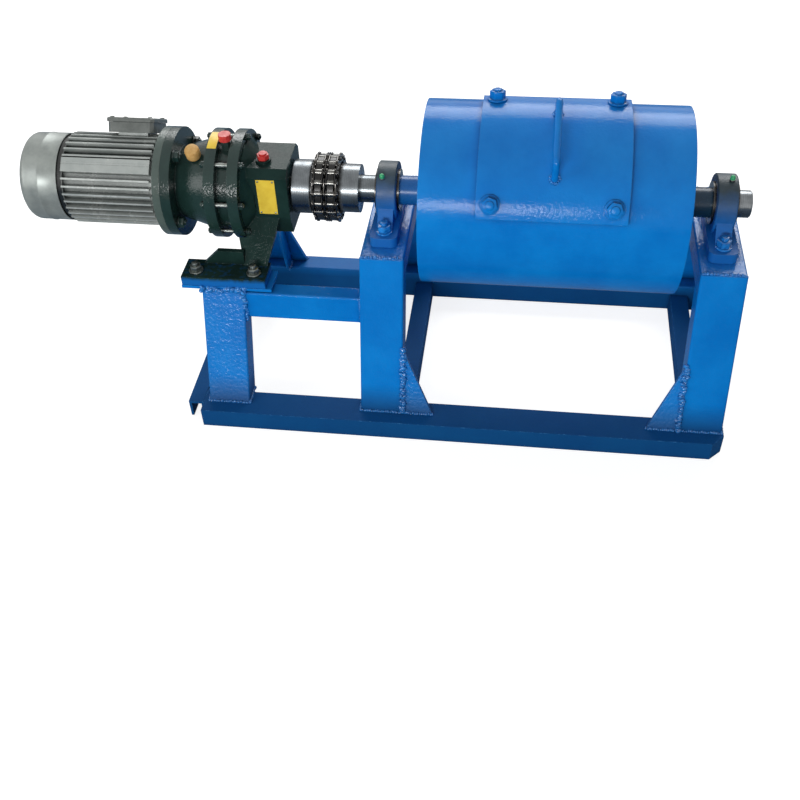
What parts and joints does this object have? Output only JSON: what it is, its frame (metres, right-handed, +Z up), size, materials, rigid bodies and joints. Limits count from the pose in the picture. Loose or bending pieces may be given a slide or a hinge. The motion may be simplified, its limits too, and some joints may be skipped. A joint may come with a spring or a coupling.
{
  "type": "batch ball mill",
  "caption": "Small batch ball mill: hatched steel drum on two pillow bearings, turned through a roller chain coupling by a geared motor on a welded channel frame.",
  "frame": {"origin": "middle of the bounding box at floor level", "axes": "+X along the shaft from the motor to the drum, -Y the operator side with the hatch, +Z up"},
  "size_m": [1.3195, 0.479, 0.6058],
  "materials": {
    "blue_paint": "semi-gloss machinery enamel",
    "green_enamel": "glossy dark green enamel",
    "motor_grey": "grey enamel on ribbed casting",
    "fan_cover_metal": "bare sheet steel",
    "machined_steel": "turned bright steel",
    "oiled_steel": "dark oiled chain steel",
    "housing_iron": "painted cast iron",
    "red_plastic": "moulded red plug"
  },
  "bodies": {
    "frame": {"front_base_rail": "blue_paint", "rear_base_rail": "blue_paint", "left_cross_member": "blue_paint", "middle_cross_member": "blue_paint", "right_cross_member": "blue_paint", "front_left_leg": "blue_paint", "rear_left_leg": "blue_paint", "front_middle_leg": "blue_paint", "rear_middle_leg": "blue_paint", "front_right_leg": "blue_paint", "rear_right_leg": "blue_paint", "middle_bearing_beam": "blue_paint", "right_bearing_beam": "blue_paint", "front_upper_rail": "blue_paint", "front_middle_gusset": "blue_paint", "front_right_gusset": "blue_paint", "rear_left_gusset": "blue_paint", "rear_middle_gusset": "blue_paint", "rear_right_gusset": "blue_paint", "gear_mounting_plates": "blue_paint", "left_bearing_housing": "housing_iron", "right_bearing_housing": "housing_iron", "gear_case": "green_enamel", "gear_ring_housing": "green_enamel", "gear_input_neck": "green_enamel", "ring_oil_plug": "red_plastic", "case_oil_plug": "red_plastic", "motor_body": "motor_grey", "motor_end_shield": "green_enamel", "fan_cover": "fan_cover_metal", "terminal_box": "green_enamel", "terminal_box_lid": "green_enamel"},
    "rotor": {"drum_shell": "blue_paint", "left_end_plate": "blue_paint", "right_end_plate": "blue_paint", "hatch_lid": "blue_paint", "hatch_handle": "blue_paint", "drive_shaft": "blue_paint", "tail_shaft": "blue_paint", "left_bearing_ring": "machined_steel", "right_bearing_ring": "machined_steel", "gear_side_hub": "machined_steel", "drum_side_hub": "machined_steel", "coupling_chain": "oiled_steel", "gear_output_shaft": "machined_steel"}
  },
  "joints": [
    {"name": "drum_spin", "type": "hinge", "parent": "frame", "child": "rotor", "pos_m": [0.313, 0.0145, 0.391], "axis": [1, 0, 0], "continuous": true}
  ]
}
